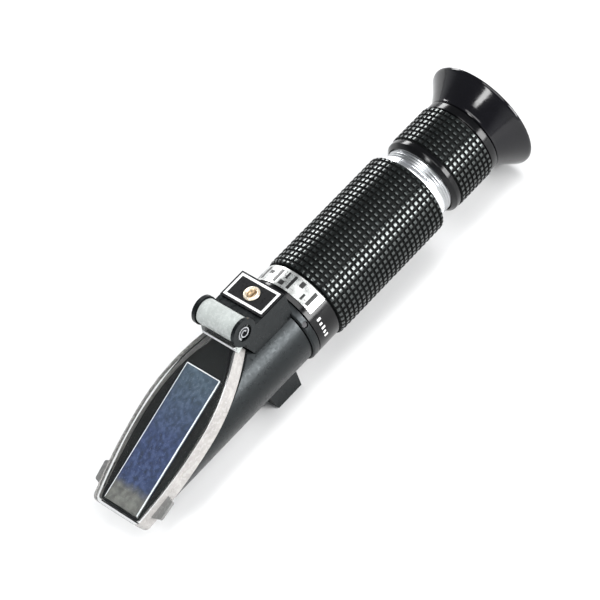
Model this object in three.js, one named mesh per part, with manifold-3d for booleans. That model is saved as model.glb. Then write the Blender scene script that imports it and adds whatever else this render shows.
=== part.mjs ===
// Handheld refractometer with a sloping prism face, a hinged daylight plate, a
// calibration screw that shifts a temperature-compensated objective, and a
// screw-focused eyepiece with a rubber eyecup.
//
// Millimetres, +X towards the eye, +Z up. Every part is drawn about the optical
// axis. A station is a distance along that axis from the front edge of the
// calibration plate's border, positive towards the eye. The last lines lift the
// instrument so that it stands on its foot and its eyecup, with the origin under
// the middle of its bounding box.

import * as THREE from 'three';
import { mergeVertices } from 'three/addons/utils/BufferGeometryUtils.js';
import Module from 'manifold-3d';

const wasm = await Module();
wasm.setup();

// ---------------------------------------------------------------- dimensions

const FINE = 36; // segments of an outer turned surface
const COARSE = 24; // segments of an inner turned surface
const SMALL = 16; // segments of a pin, screw or hole
const GAP = 0.3; // clearance between neighbouring pieces
const THROUGH = 60; // longer than any piece that a cutter passes through

const EYECUP_RADIUS = 19; // also the height of the optical axis when standing
const INCLINE = THREE.MathUtils.degToRad(21); // slope of the prism face

const HOUSING = { rear: 8.5, radius: 12.83, spigotRear: 19, spigotRadius: 11, bore: 9.3, boreFront: -4 };
const LIGHT_WINDOW = { front: -19.5, radius: 6.9 }; // narrow bore up to the prism's exit face
const BLOCK = { front: -8, rear: 9.5, halfWidth: 8.5, top: 19.3, bottom: 5 };
const FOOT = { front: -5.6, rear: 4.45, rootFront: -7.8, rootHeight: -10.4, halfWidth: 6.8 };

// The slope frame has its origin at the hinge end of the prism face. Distances
// down the slope run towards the tip, and heights are square to the face.
const SLOPE_ORIGIN = { station: -19.77, height: 10.11 };
const HINGE = { station: -7.65, height: 20.3, earRadius: 4.5, earInner: 7.3, valleyRadius: 5.1 };
const PIN = { radius: 2.4, halfLength: 8.4, strip: 0.42, turns: 1.8 };
const PRISM = { length: 45.5, halfWidth: 6.8, exitHeight: 14, tipHeight: 3.2 };
const BED = { thickness: 0.8, gap: 0.35 };
const FACE = { cut: -3.4, table: -0.4, tableTip: 46.2, tip: 46.9, cheek: -11.9, tableStart: -14.9 };

const PLATE = {
  hingeEnd: -11.4,
  tip: 47.6,
  widest: 17,
  halfWidth: 12.3,
  hingeSideRadius: 60,
  tipSideRadius: 150,
  wall: 1.5,
  tipWall: 1.1,
  bottom: -3.1,
  underside: 0.3,
  top: 1.6,
  flare: 0.07,
  corner: 2.2,
};
const KNUCKLE = { radius: 4, halfWidth: 7, webEnd: -9.3, webStep: 0.5 };
const TAB = { start: 35.2, end: 43.6, reach: 13.9, bottom: -1.6, top: -0.5, taper: 1.2 };

const BADGE = { front: -0.6, rear: 9.35, halfWidth: 8.35, bottom: 19.5, top: 19.85 };
const ADJUSTER = { station: 4.37, bushRadius: 2.55, bushBore: 1.65, bushBottom: 10.2, bushTop: 20.1 };
const SCREW = { radius: 1.35, bottom: 8.6, top: 19.4, slotWidth: 0.5, slotDepth: 0.8 };

const CARRIER = { front: 2.6, rear: 6.2, radius: 8, bore: 6.4, padRadius: 1.7, padTop: 8.25 };
const BIMETAL = { front: 6.45, rear: 9.85, thickness: 0.5, width: 5, height: 6.95 };
const OBJECTIVE = { front: 10.8, rear: 14, radius: 6, cellFront: 10.1, cellRear: 14.6, cellRadius: 7.6 };
const LEAF = { halfSpan: 3, foot: -9.05, crown: -8.55, thickness: 0.2, front: 3.4, rear: 5.4 };

const LOCK_RING = { front: 8.8, rear: 11.3, bore: 11.3, radius: 13.65, edge: 0.4 };
const LOCK_SCREW = { count: 3, radius: 0.9, inner: 11.3, outer: 13.2, firstAngle: 180 };
const TUBE_SEAL = { station: 15.5, radius: 10.7, thickness: 0.4 };

const TUBE = { front: 11.6, rear: 67.3, bore: 11.3, bandRadius: 13.6, bandRear: 20, seatRadius: 12.6 };
const BAND_LABEL = { front: 13.3, rear: 19.7, inner: 13.75, outer: 13.95, nearAngle: 35, farAngle: 180 };
const GRIP = { front: 20.3, rear: 67.4, bore: 12.9, radius: 14.25, edge: 1.3 };
const STOP = { front: 30, rear: 31, bore: 5, radius: 11 };
const RETICLE = { front: 52.6, discFront: 54.6, discRear: 55.8, rear: 57.6, radius: 11, bore: 9 };

const END_RING = { front: 67.7, rear: 69.2, bore: 11.3, radius: 12.5 };
const EYE_TUBE = { front: 60, shoulder: 69.5, rear: 78.2, bore: 10.3, inner: 11, radius: 11.9 };
const GUIDE_KEY = { station: 74.6, radius: 0.8, inner: 8.9, outer: 11.5 };
const EYE_SEAL = { station: 77, radius: 11.55, thickness: 0.4 };

const BARREL = { front: 70, rear: 91, radius: 10, bore: 8.6, lipBore: 7.4, lipRear: 72.7 };
const BARREL_COLLAR = { front: 82.9, rear: 84.4, radius: 11.6 };
const FOCUS_TRAVEL = { inward: 3.5, outward: 2.5 };
const LENS_RADIUS = 8.3;
const FIELD_LENS = { front: 73, rear: 75.6, bulge: 0.9 };
const SPACER = { front: 75.9, rear: 84.4, bore: 7.5 };
const EYE_LENS = { front: 84.7, rear: 88.4, bulge: 1.2 };
const LENS_CLAMP = { front: 88.7, rear: 90.4, bore: 7.2 };
const CIRCLIP = { front: 86.9, rear: 87.8, inner: 10.05, outer: 11.3, opening: 4 };

const RING = {
  front: 73,
  bore: 12.2,
  frontRadius: 13.5,
  chamfer: 1.2,
  frontBandRear: 75.9,
  seatRadius: 12.8,
  webFront: 84.7,
  webRear: 86.5,
  webBore: 10.3,
  rearBandFront: 90.6,
  rearRadius: 13.35,
  rear: 93.1,
};
const RING_GRIP = { front: 76.2, rear: 90.3, bore: 13, radius: 13.6, edge: 0.3 };
const EYECUP = {
  skirtFront: 88.4,
  skirtBore: 10.6,
  skirtRadius: 11.9,
  shoulder: 93.4,
  neckRadius: 13.2,
  rimFront: 101.6,
  rim: 102.6,
  mouthRadius: 17.7,
  floor: 95.2,
  floorRadius: 10.6,
  sightRadius: 8.8,
};

// ----------------------------------------------------------------- materials

function finish(color, roughness, metalness, opacity = 1) {
  return new THREE.MeshStandardMaterial({ color, roughness, metalness, opacity, transparent: opacity < 1 });
}

const blackCasting = () => finish(0x1b1e21, 0.5, 0.2);
const blackRubber = () => finish(0x0d0f10, 0.7, 0);
const blackAnodised = () => finish(0x131516, 0.4, 0.6);
const chromePlate = () => finish(0xe6e8ea, 0.12, 1);
const brass = () => finish(0xc9a468, 0.3, 1);
const steel = () => finish(0x9a9da0, 0.35, 1);
const clearGlass = () => finish(0xdfeaf0, 0.05, 0, 0.35);
const clearAcrylic = () => finish(0xe8ecec, 0.1, 0, 0.35);
const prismGlass = () => finish(0x3d4f8c, 0.05, 0, 0.8);
const silverFoil = () => finish(0xd8dadb, 0.3, 0.9);

// ------------------------------------------------------------ shape helpers

// A solid of revolution about the optical axis. The profile is a list of
// [station, radius], outer surface from front to rear and then the bore back.
function revolve(profile, segments = COARSE) {
  const points = profile.map(([station, radius]) => new THREE.Vector2(radius, station));
  return new THREE.LatheGeometry(points, segments).rotateZ(-Math.PI / 2);
}

function sleeve(front, rear, bore, radius, segments = COARSE) {
  return revolve([[front, bore], [front, radius], [rear, radius], [rear, bore], [front, bore]], segments);
}

function rod(front, rear, radius, segments = COARSE) {
  return revolve([[front, 0], [front, radius], [rear, radius], [rear, 0]], segments);
}

// A sleeve whose two outer edges are quarter rounds.
function softSleeve(front, rear, bore, radius, edge, segments, steps = 3) {
  const quarter = (centre, start) =>
    Array.from({ length: steps + 1 }, (_, i) => {
      const angle = start - (i / steps) * (Math.PI / 2);
      return [centre + edge * Math.cos(angle), radius - edge + edge * Math.sin(angle)];
    });
  const profile = [
    [front, bore],
    ...quarter(front + edge, Math.PI),
    ...quarter(rear - edge, Math.PI / 2),
    [rear, bore],
    [front, bore],
  ];
  return revolve(profile, segments);
}

// A ring of round section about the optical axis.
function roundRing(station, radius, thickness) {
  const turn = THREE.MathUtils.degToRad(90);
  return new THREE.TorusGeometry(radius, thickness, 6, COARSE).rotateY(turn).translate(station, 0, 0);
}

// An outline in the side view, [station, height], widened equally both ways.
function sideSlab(outline, halfWidth) {
  const shape = new THREE.Shape(outline.map(([station, height]) => new THREE.Vector2(station, height)));
  const slab = new THREE.ExtrudeGeometry(shape, { depth: 2 * halfWidth, bevelEnabled: false });
  return slab.rotateX(Math.PI / 2).translate(0, halfWidth, 0);
}

// A flat shape drawn in plan and raised from one height to another.
function raised(shape, bottom, top) {
  return new THREE.ExtrudeGeometry(shape, { depth: top - bottom, bevelEnabled: false }).translate(0, 0, bottom);
}

// A round bar across the instrument, along Y.
function crossBar(station, height, radius, halfLength, segments = SMALL) {
  return new THREE.CylinderGeometry(radius, radius, 2 * halfLength, segments).translate(station, 0, height);
}

// A round bar standing along Z.
function upright(station, bottom, top, radius, segments = SMALL) {
  const bar = new THREE.CylinderGeometry(radius, radius, top - bottom, segments).rotateX(Math.PI / 2);
  return bar.translate(station, 0, (top + bottom) / 2);
}

// A round bar that stands out from the axis, at an angle about it from the top.
function radialBar(station, inner, outer, radius, degrees) {
  return upright(0, inner, outer, radius).rotateX(THREE.MathUtils.degToRad(degrees)).translate(station, 0, 0);
}

function block(low, high) {
  const size = high.map((value, i) => value - low[i]);
  const centre = high.map((value, i) => (value + low[i]) / 2);
  return new THREE.BoxGeometry(...size).translate(...centre);
}

// ---------------------------------------------------------- solid operations

function toSolid(geometry) {
  const bare = geometry.clone();
  bare.deleteAttribute('normal');
  bare.deleteAttribute('uv');
  const merged = mergeVertices(bare, 1e-3);
  const corners = merged.index.array;
  const kept = [];
  for (let i = 0; i < corners.length; i += 3) {
    const [a, b, c] = corners.slice(i, i + 3);
    if (a !== b && b !== c && c !== a) kept.push(a, b, c);
  }
  const mesh = new wasm.Mesh({
    numProp: 3,
    vertProperties: merged.attributes.position.array,
    triVerts: new Uint32Array(kept),
  });
  return new wasm.Manifold(mesh);
}

function toGeometry(solid) {
  const mesh = solid.getMesh();
  const geometry = new THREE.BufferGeometry();
  geometry.setAttribute('position', new THREE.BufferAttribute(mesh.vertProperties, 3));
  geometry.setIndex(new THREE.BufferAttribute(mesh.triVerts, 1));
  geometry.computeVertexNormals();
  return geometry;
}

function cut(body, ...cutters) {
  return cutters.reduce((solid, cutter) => solid.subtract(toSolid(cutter)), body);
}

function join(first, ...others) {
  return others.reduce((solid, other) => solid.add(toSolid(other)), toSolid(first));
}

// ------------------------------------------------------------- slope frame

const slopeMatrix = new THREE.Matrix4()
  .makeTranslation(SLOPE_ORIGIN.station, 0, SLOPE_ORIGIN.height)
  .multiply(new THREE.Matrix4().makeRotationY(-INCLINE));
const onSlope = (geometry) => geometry.applyMatrix4(slopeMatrix);

// The [station, height] of a point given down the slope and square to it.
function slopePoint(down, up) {
  const point = new THREE.Vector3(-down, 0, up).applyMatrix4(slopeMatrix);
  return [point.x, point.z];
}

// The hinge axis as seen from the slope frame.
const hingeOnSlope = new THREE.Vector3(HINGE.station, 0, HINGE.height).applyMatrix4(slopeMatrix.clone().invert());

// An outline given down and up the slope, as a slab in the slope frame.
const slopeSlab = (outline, halfWidth) => sideSlab(outline.map(([down, up]) => [-down, up]), halfWidth);

// The daylight plate is boat shaped: two arcs that meet at its widest point.
function boatHalfWidth(down) {
  const radius = down < PLATE.widest ? PLATE.hingeSideRadius : PLATE.tipSideRadius;
  return PLATE.halfWidth - (down - PLATE.widest) ** 2 / (2 * radius);
}

// Half the boat outline as [down, half width], rounded off at the tip.
function boatSide(start, tip, inset, corner, width = boatHalfWidth, steps = 14) {
  const side = [];
  for (let i = 0; i <= steps; i += 1) {
    const down = start + ((tip - corner - start) * i) / steps;
    side.push([down, width(down) - inset]);
  }
  const [, last] = side[steps];
  for (const degrees of [30, 60, 90]) {
    const angle = THREE.MathUtils.degToRad(degrees);
    side.push([tip - corner + corner * Math.sin(angle), last - corner + corner * Math.cos(angle)]);
  }
  return side;
}

// Leans the walls of an upright boat outwards, by a share of the half width.
function flare(geometry) {
  const points = geometry.attributes.position;
  for (let i = 0; i < points.count; i += 1) {
    const depth = (PLATE.top - points.getZ(i)) / (PLATE.top - PLATE.bottom);
    points.setY(i, points.getY(i) * (1 + PLATE.flare * depth));
  }
  return geometry;
}

function boatShape(side) {
  const right = side.map(([down, half]) => new THREE.Vector2(-down, half));
  const left = side.map(([down, half]) => new THREE.Vector2(-down, -half)).reverse();
  return new THREE.Shape([...right, ...left]);
}

// The table under the plate stays clear of the plate's side walls as they lift.
// The wall that passes a point of the table starts a little nearer the hinge.
function tableHalfWidth(down) {
  const hingeDown = -hingeOnSlope.x;
  const wallDepth = hingeOnSlope.z - PLATE.bottom;
  const tableDepth = hingeOnSlope.z - FACE.table;
  const wallEnd = PLATE.hingeEnd - hingeDown;
  const passing = Math.max((down - hingeDown) ** 2 + tableDepth ** 2 - wallDepth ** 2, wallEnd ** 2);
  return boatHalfWidth(hingeDown + Math.sqrt(passing)) - PLATE.wall - GAP;
}

// Where the prism lies: its face, its upright exit face and its sloping base.
const exitFoot = { down: PRISM.exitHeight * Math.sin(INCLINE), up: -PRISM.exitHeight * Math.cos(INCLINE) };
const prismOutline = [
  [0, 0],
  [PRISM.length, 0],
  [PRISM.length, -PRISM.tipHeight],
  [exitFoot.down, exitFoot.up],
];

// ---------------------------------------------------------- housing and prism

function makeHousing() {
  const tipStation = -75;
  const shell = revolve(
    [
      [tipStation, 0],
      [tipStation, HOUSING.radius],
      [HOUSING.rear, HOUSING.radius],
      [HOUSING.rear, HOUSING.spigotRadius],
      [HOUSING.spigotRear, HOUSING.spigotRadius],
      [HOUSING.spigotRear, 0],
    ],
    FINE,
  );
  const aboveCut = onSlope(block([-THROUGH, -THROUGH, FACE.cut], [THROUGH, THROUGH, THROUGH]));
  const beyondTip = onSlope(block([-2 * THROUGH, -THROUGH, -THROUGH], [-FACE.tip, THROUGH, THROUGH]));
  const cylinder = cut(toSolid(shell), aboveCut, beyondTip);

  const cheeks = sideSlab(
    [
      [BLOCK.rear, BLOCK.bottom],
      [BLOCK.rear, BLOCK.top],
      [HINGE.station, BLOCK.top],
      slopePoint(FACE.cheek, 0),
      slopePoint(FACE.cheek, FACE.cut - 1),
      [BLOCK.front + 3, BLOCK.bottom],
    ],
    BLOCK.halfWidth,
  );
  const ears = crossBar(HINGE.station, HINGE.height, HINGE.earRadius, BLOCK.halfWidth, FINE / 2);
  const valley = crossBar(HINGE.station, HINGE.height, HINGE.valleyRadius, HINGE.earInner, FINE / 2);
  const webRoom = onSlope(
    block([0, -HINGE.earInner, FACE.table], [-FACE.tableStart, HINGE.earInner, HINGE.valleyRadius]),
  );
  const ringRoom = rod(HOUSING.rear, BLOCK.rear + 1, LOCK_RING.radius + GAP, FINE);
  const head = cut(join(cheeks, ears), valley, webRoom, ringRoom);

  const tableSide = boatSide(FACE.tableStart, FACE.tableTip, 0, PLATE.corner - 1, tableHalfWidth);
  const table = onSlope(raised(boatShape(tableSide), FACE.cut - 1, FACE.table));
  const foot = sideSlab(
    [
      [FOOT.rear, FOOT.rootHeight],
      [FOOT.rootFront, FOOT.rootHeight],
      [FOOT.front, -EYECUP_RADIUS],
      [FOOT.rear, -EYECUP_RADIUS],
    ],
    FOOT.halfWidth,
  );
  const casting = cylinder.add(head).add(toSolid(table)).add(toSolid(foot));

  const bore = rod(HOUSING.boreFront, HOUSING.spigotRear + 1, HOUSING.bore);
  const window = rod(LIGHT_WINDOW.front, HOUSING.boreFront + 1, LIGHT_WINDOW.radius);
  const bedRoom = BED.thickness + 2 * BED.gap;
  const behindExit = (up) => [-up * Math.tan(INCLINE) - GAP / Math.cos(INCLINE), up];
  const pocket = onSlope(
    slopeSlab(
      [
        behindExit(2),
        [PRISM.length + GAP, 2],
        [PRISM.length + GAP, -PRISM.tipHeight - bedRoom],
        behindExit(exitFoot.up - bedRoom),
      ],
      PRISM.halfWidth + GAP,
    ),
  );
  const screwHole = upright(ADJUSTER.station, 0, THROUGH, ADJUSTER.bushRadius + GAP);
  const pinHole = crossBar(HINGE.station, HINGE.height, PIN.radius + GAP, THROUGH);
  const sealGroove = roundRing(TUBE_SEAL.station, TUBE_SEAL.radius, TUBE_SEAL.thickness + GAP);
  return cut(casting, bore, window, pocket, screwHole, pinHole, sealGroove);
}

function makePrismBed() {
  const top = [
    [PRISM.length - GAP, -PRISM.tipHeight - BED.gap],
    [exitFoot.down + 2 * GAP, exitFoot.up - BED.gap],
  ];
  const bottom = top.map(([down, up]) => [down, up - BED.thickness]).reverse();
  return slopeSlab([...top, ...bottom], PRISM.halfWidth);
}

// ------------------------------------------------------------ daylight plate

function makeDaylightPlate() {
  const outside = boatSide(PLATE.hingeEnd, PLATE.tip, 0, PLATE.corner);
  const inside = boatSide(PLATE.hingeEnd - 4, PLATE.tip - PLATE.tipWall, PLATE.wall, PLATE.corner - 1);
  const tray = toSolid(flare(raised(boatShape(outside), PLATE.bottom, PLATE.top)));
  const hollow = flare(raised(boatShape(inside), PLATE.bottom - 1, PLATE.underside));

  const hinge = { station: hingeOnSlope.x, height: hingeOnSlope.z };
  const earSweep = HINGE.earRadius + GAP;
  const earClearances = [-1, 1].map((side) => {
    const length = BLOCK.halfWidth;
    const clearance = crossBar(hinge.station, hinge.height, earSweep, length / 2, FINE / 2);
    return clearance.translate(0, side * (KNUCKLE.halfWidth + length / 2), 0);
  });
  const shallow = cut(tray, hollow, ...earClearances);

  const knuckle = crossBar(hinge.station, hinge.height, KNUCKLE.radius, KNUCKLE.halfWidth, FINE / 2);
  const web = slopeSlab(
    [
      [-hinge.station, PLATE.underside],
      [KNUCKLE.webEnd, PLATE.underside],
      [KNUCKLE.webEnd, PLATE.top + KNUCKLE.webStep],
      [-hinge.station + KNUCKLE.radius - 0.2, hinge.height - 0.9],
      [-hinge.station, hinge.height - 1],
    ],
    KNUCKLE.halfWidth,
  );
  const tabs = [-1, 1].map((side) => {
    const outline = [
      [TAB.start, boatHalfWidth(TAB.start) - PLATE.wall / 2],
      [TAB.start + TAB.taper, TAB.reach],
      [TAB.end - TAB.taper, TAB.reach - 0.4],
      [TAB.end, boatHalfWidth(TAB.end) - PLATE.wall / 2],
    ].map(([down, half]) => new THREE.Vector2(-down, side * half));
    return raised(new THREE.Shape(outline), TAB.bottom, TAB.top);
  });
  const added = [knuckle, web, ...tabs].reduce((solid, piece) => solid.add(toSolid(piece)), shallow);
  return cut(added, crossBar(hinge.station, hinge.height, PIN.radius + GAP, THROUGH));
}

// A spring pin rolled from strip, so its ends show a spiral.
function makeHingePin() {
  const pitch = PIN.strip + 0.14;
  const innerRadius = PIN.radius - PIN.strip - pitch * PIN.turns;
  const steps = 26;
  const face = [];
  const back = [];
  for (let i = 0; i <= steps; i += 1) {
    const angle = (i / steps) * PIN.turns * 2 * Math.PI;
    const radius = innerRadius + (pitch * angle) / (2 * Math.PI);
    face.push(new THREE.Vector2(radius * Math.cos(angle), radius * Math.sin(angle)));
    const outer = radius + PIN.strip;
    back.push(new THREE.Vector2(outer * Math.cos(angle), outer * Math.sin(angle)));
  }
  const spiral = new THREE.Shape([...face, ...back.reverse()]);
  const pin = new THREE.ExtrudeGeometry(spiral, { depth: 2 * PIN.halfLength, bevelEnabled: false });
  return pin.rotateX(Math.PI / 2).translate(HINGE.station, PIN.halfLength, HINGE.height);
}

// -------------------------------------------------- calibration plate and screw

function makeBadge() {
  const plate = block([BADGE.front, -BADGE.halfWidth, BADGE.bottom], [BADGE.rear, BADGE.halfWidth, BADGE.top]);
  return cut(toSolid(plate), upright(ADJUSTER.station, 0, THROUGH, ADJUSTER.bushRadius + 0.1));
}

function makeBush() {
  const outside = upright(ADJUSTER.station, ADJUSTER.bushBottom, ADJUSTER.bushTop, ADJUSTER.bushRadius);
  return cut(toSolid(outside), upright(ADJUSTER.station, 0, THROUGH, ADJUSTER.bushBore));
}

function makeScrew() {
  const shank = toSolid(upright(ADJUSTER.station, SCREW.bottom, SCREW.top, SCREW.radius));
  const half = SCREW.slotWidth / 2;
  const low = [ADJUSTER.station - 2 * SCREW.radius, -half, SCREW.top - SCREW.slotDepth];
  const high = [ADJUSTER.station + 2 * SCREW.radius, half, SCREW.top + 1];
  return cut(shank, block(low, high));
}

// The carrier is a ring with a flat pad on top for the screw's tip.
function makeCarrier() {
  const ring = sleeve(CARRIER.front, CARRIER.rear, CARRIER.bore, CARRIER.radius);
  const { padTop } = CARRIER;
  const abovePad = block([CARRIER.front - 1, -THROUGH, padTop], [CARRIER.rear + 1, THROUGH, THROUGH]);
  const pad = upright(ADJUSTER.station, CARRIER.bore + 0.4, padTop, CARRIER.padRadius);
  return cut(join(ring, pad), abovePad);
}

function makeBimetalStrip(side) {
  const middle = side * BIMETAL.height;
  const low = [BIMETAL.front, -BIMETAL.width / 2, middle - BIMETAL.thickness / 2];
  const high = [BIMETAL.rear, BIMETAL.width / 2, middle + BIMETAL.thickness / 2];
  return block(low, high);
}

function makeObjectiveCell() {
  const lip = OBJECTIVE.radius - 0.8;
  return revolve([
    [OBJECTIVE.cellFront, lip],
    [OBJECTIVE.cellFront, OBJECTIVE.cellRadius],
    [OBJECTIVE.cellRear, OBJECTIVE.cellRadius],
    [OBJECTIVE.cellRear, OBJECTIVE.radius + GAP],
    [OBJECTIVE.front - GAP, OBJECTIVE.radius + GAP],
    [OBJECTIVE.front - GAP, lip],
    [OBJECTIVE.cellFront, lip],
  ]);
}

// A lens with two bulging faces, with its rim from front to rear.
function makeLens(front, rear, radius, bulge, steps = 2) {
  const face = (edge, direction) =>
    Array.from({ length: steps + 1 }, (_, i) => {
      const reach = i / steps;
      return [edge + direction * bulge * (1 - reach ** 2), radius * reach];
    });
  const frontFace = face(front + bulge, -1);
  const rearFace = face(rear - bulge, 1).reverse();
  return revolve([...frontFace, ...rearFace]);
}

// A bowed strip under the carrier, seen along the optical axis.
function makeLeafSpring() {
  const steps = 8;
  const lower = [];
  const upper = [];
  for (let i = 0; i <= steps; i += 1) {
    const across = -LEAF.halfSpan + (2 * LEAF.halfSpan * i) / steps;
    const rise = (LEAF.crown - LEAF.foot) * (1 - (across / LEAF.halfSpan) ** 2);
    const bore = HOUSING.bore - Math.sqrt(HOUSING.bore ** 2 - across ** 2);
    const height = LEAF.foot + Math.max(rise, bore);
    lower.push(new THREE.Vector2(across, height));
    upper.push(new THREE.Vector2(across, height + LEAF.thickness));
  }
  const section = new THREE.Shape([...lower, ...upper.reverse()]);
  const strip = new THREE.ExtrudeGeometry(section, { depth: LEAF.rear - LEAF.front, bevelEnabled: false });
  const alongAxis = new THREE.Matrix4().makeBasis(
    new THREE.Vector3(0, 1, 0),
    new THREE.Vector3(0, 0, 1),
    new THREE.Vector3(1, 0, 0),
  );
  return strip.applyMatrix4(alongAxis).translate(LEAF.front, 0, 0);
}

// ---------------------------------------------------------- tube and its fittings

function makeLockRing() {
  const { front, rear, bore, radius, edge } = LOCK_RING;
  const ring = revolve(
    [
      [front, bore],
      [front, radius - edge],
      [front + edge, radius],
      [rear, radius],
      [rear, bore],
      [front, bore],
    ],
    FINE,
  );
  const holes = lockScrewAngles().map((angle) => radialBar(lockScrewStation(), 5, THROUGH, LOCK_SCREW.radius + 0.15, angle));
  return cut(toSolid(ring), ...holes);
}

const lockScrewStation = () => (LOCK_RING.front + LOCK_RING.rear) / 2;
const lockScrewAngles = () =>
  Array.from({ length: LOCK_SCREW.count }, (_, i) => LOCK_SCREW.firstAngle + (360 / LOCK_SCREW.count) * i);

function makeLockScrew(angle) {
  return radialBar(lockScrewStation(), LOCK_SCREW.inner, LOCK_SCREW.outer, LOCK_SCREW.radius, angle);
}

function makeTube() {
  return revolve(
    [
      [TUBE.front, TUBE.bore],
      [TUBE.front, TUBE.bandRadius],
      [TUBE.bandRear, TUBE.bandRadius],
      [TUBE.bandRear, TUBE.seatRadius],
      [TUBE.rear, TUBE.seatRadius],
      [TUBE.rear, TUBE.bore],
      [TUBE.front, TUBE.bore],
    ],
    FINE,
  );
}

// A foil over part of the band, its angles counted from the near side upwards.
function makeBandLabel() {
  const near = THREE.MathUtils.degToRad(BAND_LABEL.nearAngle);
  const far = THREE.MathUtils.degToRad(BAND_LABEL.farAngle);
  const steps = 20;
  const outer = [];
  const inner = [];
  for (let i = 0; i <= steps; i += 1) {
    const angle = near + ((far - near) * i) / steps;
    outer.push(new THREE.Vector2(-BAND_LABEL.outer * Math.cos(angle), BAND_LABEL.outer * Math.sin(angle)));
    inner.push(new THREE.Vector2(-BAND_LABEL.inner * Math.cos(angle), BAND_LABEL.inner * Math.sin(angle)));
  }
  const section = new THREE.Shape([...outer, ...inner.reverse()]);
  const depth = BAND_LABEL.rear - BAND_LABEL.front;
  const foil = new THREE.ExtrudeGeometry(section, { depth, bevelEnabled: false });
  const alongAxis = new THREE.Matrix4().makeBasis(
    new THREE.Vector3(0, 1, 0),
    new THREE.Vector3(0, 0, 1),
    new THREE.Vector3(1, 0, 0),
  );
  return foil.applyMatrix4(alongAxis).translate(BAND_LABEL.front, 0, 0);
}

function makeReticleHolder() {
  const lip = RETICLE.bore;
  const seat = RETICLE.radius - 0.7;
  return revolve([
    [RETICLE.front, lip],
    [RETICLE.front, RETICLE.radius],
    [RETICLE.rear, RETICLE.radius],
    [RETICLE.rear, seat],
    [RETICLE.discFront - GAP, seat],
    [RETICLE.discFront - GAP, lip],
    [RETICLE.front, lip],
  ]);
}

// ------------------------------------------------------------------- eyepiece

function makeEyeTube() {
  const tube = revolve(
    [
      [EYE_TUBE.front, EYE_TUBE.bore],
      [EYE_TUBE.front, EYE_TUBE.inner],
      [EYE_TUBE.shoulder, EYE_TUBE.inner],
      [EYE_TUBE.shoulder, EYE_TUBE.radius],
      [EYE_TUBE.rear, EYE_TUBE.radius],
      [EYE_TUBE.rear, EYE_TUBE.bore],
      [EYE_TUBE.front, EYE_TUBE.bore],
    ],
    FINE,
  );
  const keyHole = radialBar(GUIDE_KEY.station, 5, THROUGH, GUIDE_KEY.radius + 0.15, 180);
  const groove = roundRing(EYE_SEAL.station, EYE_SEAL.radius, EYE_SEAL.thickness + GAP);
  return cut(toSolid(tube), keyHole, groove);
}

// The sliding barrel has a slot underneath that rides on the guide key.
function makeBarrel() {
  const barrel = revolve([
    [BARREL.front, BARREL.lipBore],
    [BARREL.front, BARREL.radius],
    [BARREL_COLLAR.front, BARREL.radius],
    [BARREL_COLLAR.front, BARREL_COLLAR.radius],
    [BARREL_COLLAR.rear, BARREL_COLLAR.radius],
    [BARREL_COLLAR.rear, BARREL.radius],
    [CIRCLIP.front - 0.15, BARREL.radius],
    [CIRCLIP.front - 0.15, BARREL.radius - 0.25],
    [CIRCLIP.rear + 0.15, BARREL.radius - 0.25],
    [CIRCLIP.rear + 0.15, BARREL.radius],
    [BARREL.rear, BARREL.radius],
    [BARREL.rear, BARREL.bore],
    [BARREL.lipRear, BARREL.bore],
    [BARREL.lipRear, BARREL.lipBore],
    [BARREL.front, BARREL.lipBore],
  ]);
  const slotHalf = GUIDE_KEY.radius + 0.15;
  const slotFront = GUIDE_KEY.station - FOCUS_TRAVEL.outward - GUIDE_KEY.radius - GAP;
  const slotRear = GUIDE_KEY.station + FOCUS_TRAVEL.inward + GUIDE_KEY.radius + GAP;
  return cut(toSolid(barrel), block([slotFront, -slotHalf, -THROUGH], [slotRear, slotHalf, 0]));
}

function makeCirclip() {
  const ring = toSolid(sleeve(CIRCLIP.front, CIRCLIP.rear, CIRCLIP.inner, CIRCLIP.outer));
  const half = CIRCLIP.opening / 2;
  return cut(ring, block([CIRCLIP.front - 1, -half, 0], [CIRCLIP.rear + 1, half, THROUGH]));
}

function makeRingCore() {
  const r = RING;
  return revolve(
    [
      [r.front, r.bore],
      [r.front, r.frontRadius - r.chamfer],
      [r.front + r.chamfer, r.frontRadius],
      [r.frontBandRear, r.frontRadius],
      [r.frontBandRear, r.seatRadius],
      [r.rearBandFront, r.seatRadius],
      [r.rearBandFront, r.rearRadius],
      [r.rear, r.rearRadius],
      [r.rear, r.bore],
      [r.webRear, r.bore],
      [r.webRear, r.webBore],
      [r.webFront, r.webBore],
      [r.webFront, r.bore],
      [r.front, r.bore],
    ],
    FINE,
  );
}

function makeEyecup() {
  const e = EYECUP;
  const rimMiddle = (e.mouthRadius + EYECUP_RADIUS) / 2;
  return revolve(
    [
      [e.skirtFront, e.skirtBore],
      [e.skirtFront, e.skirtRadius],
      [e.shoulder, e.skirtRadius],
      [e.shoulder, e.neckRadius],
      [e.shoulder + 1.2, e.neckRadius + 0.5],
      [(e.shoulder + e.rimFront) / 2 + 0.5, (e.neckRadius + EYECUP_RADIUS) / 2 - 0.1],
      [e.rimFront - 0.4, EYECUP_RADIUS - 0.35],
      [e.rimFront, EYECUP_RADIUS],
      [e.rim - 0.3, EYECUP_RADIUS],
      [e.rim, rimMiddle],
      [e.rim - 0.3, e.mouthRadius],
      [e.rimFront - 1.8, e.mouthRadius - 1.4],
      [e.floor + 1, e.floorRadius + 1.2],
      [e.floor, e.floorRadius],
      [e.floor, e.sightRadius],
      [e.shoulder, e.sightRadius],
      [e.shoulder, e.skirtBore],
      [e.skirtFront, e.skirtBore],
    ],
    FINE,
  );
}

// -------------------------------------------------------------------- assembly

const instrument = new THREE.Group();
const slope = new THREE.Group();
slope.position.set(SLOPE_ORIGIN.station, 0, SLOPE_ORIGIN.height);
slope.rotation.y = -INCLINE;
instrument.add(slope);

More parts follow.
